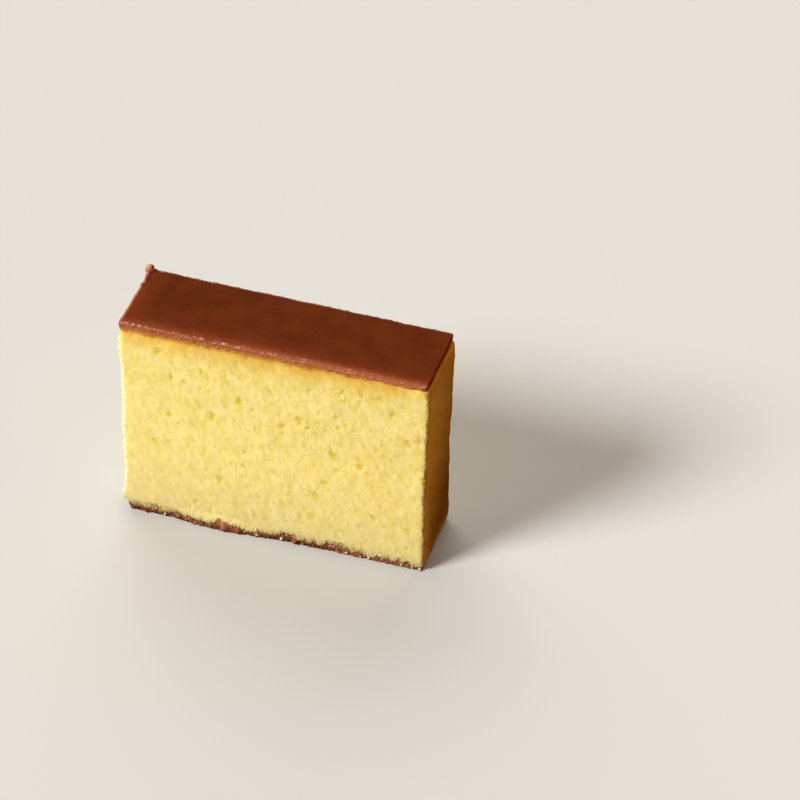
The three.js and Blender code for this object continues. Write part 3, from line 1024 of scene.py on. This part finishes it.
def direction(azimuth, elevation):
    """Unit vector from the slice to a place round it: azimuth 0 is in front, 90 at the right."""
    a, e = math.radians(azimuth), math.radians(elevation)
    return Vector((math.sin(a) * math.cos(e), -math.cos(a) * math.cos(e), math.sin(e)))


def aim(thing, azimuth, elevation, distance, target, roll=0.0):
    """Puts a camera or light that far from its target, in millimetres, and turns it to it."""
    back = direction(azimuth, elevation)
    thing.location = (Vector(target) + back * distance) * MM
    turn = (-back).to_track_quat("-Z", "Y").to_matrix().to_4x4()
    tip = Euler((0, 0, math.radians(roll))).to_matrix().to_4x4()
    thing.rotation_euler = (turn @ tip).to_euler()


def add_camera():
    data = bpy.data.cameras.new("camera")
    data.lens = CAMERA["lens"]
    data.sensor_width = 36
    data.clip_start, data.clip_end = 0.05, 60
    camera = bpy.data.objects.new("camera", data)
    bpy.context.collection.objects.link(camera)
    aim(camera, CAMERA["azimuth"], CAMERA["elevation"], CAMERA["distance"], CAMERA["target"],
        CAMERA["roll"])
    bpy.context.scene.camera = camera


# Three soft lights: a key from the front left, a low orange one from the right, as if another
# slice stood there, and one from behind. Only the key is mirrored in the crust.
LIGHTS = {
    "key": {"azimuth": -44, "elevation": 36, "spread": 20, "strength": 5.65,
            "colour": (1.0, 0.965, 0.91)},
    "fill": {"azimuth": 96, "elevation": 14, "spread": 60, "strength": 1.15,
             "colour": (1.0, 0.43, 0.11)},
    "back": {"azimuth": 208, "elevation": 36, "spread": 60, "strength": 3.2,
             "colour": (1.0, 0.94, 0.82)},
}
LIGHT_DISTANCE = 1500
FLOOR_COLOUR = "#abacad"
FLOOR_GLOW = 0.1
# Half the floor's side, in metres.
FLOOR_REACH = 25.0
BACKDROP_COLOUR = "#e5dfd5"


def add_lights():
    for name, light in LIGHTS.items():
        data = bpy.data.lights.new(name, "SUN")
        data.angle = math.radians(light["spread"])
        data.energy = light["strength"]
        data.color = light["colour"]
        lamp = bpy.data.objects.new(name, data)
        bpy.context.collection.objects.link(lamp)
        aim(lamp, light["azimuth"], light["elevation"], LIGHT_DISTANCE, (0, 0, HEIGHT / 2))
        lamp.visible_glossy = name == "key"
    # The backdrop is only seen, and lights nothing.
    world = bpy.data.worlds.new("studio")
    bpy.context.scene.world = world
    world.use_nodes = True
    world.node_tree.nodes["Background"].inputs["Color"].default_value = (*srgb(BACKDROP_COLOUR), 1)
    for ray in ("diffuse", "glossy", "transmission"):
        setattr(world.cycles_visibility, ray, False)


def add_floor():
    mesh = bpy.data.meshes.new("floor")
    corners = [(x * FLOOR_REACH, y * FLOOR_REACH, 0)
               for x, y in ((-1, -1), (1, -1), (1, 1), (-1, 1))]
    mesh.from_pydata(corners, [], [(0, 1, 2, 3)])
    floor = bpy.data.objects.new("floor", mesh)
    bpy.context.collection.objects.link(floor)
    paint = Paint("floor", Roughness=0.9, Specular_IOR_Level=0.0, Emission_Strength=FLOOR_GLOW)
    paint.set("Base Color", srgb(FLOOR_COLOUR))
    paint.set("Emission Color", srgb(BACKDROP_COLOUR))
    mesh.materials.append(paint.material)
    # The floor throws no light back on the slice, as a dark one would.
    floor.visible_diffuse = False
    floor.visible_glossy = False


build_slice()
add_camera()
add_lights()
add_floor()
bpy.context.scene.view_settings.view_transform = "Standard"
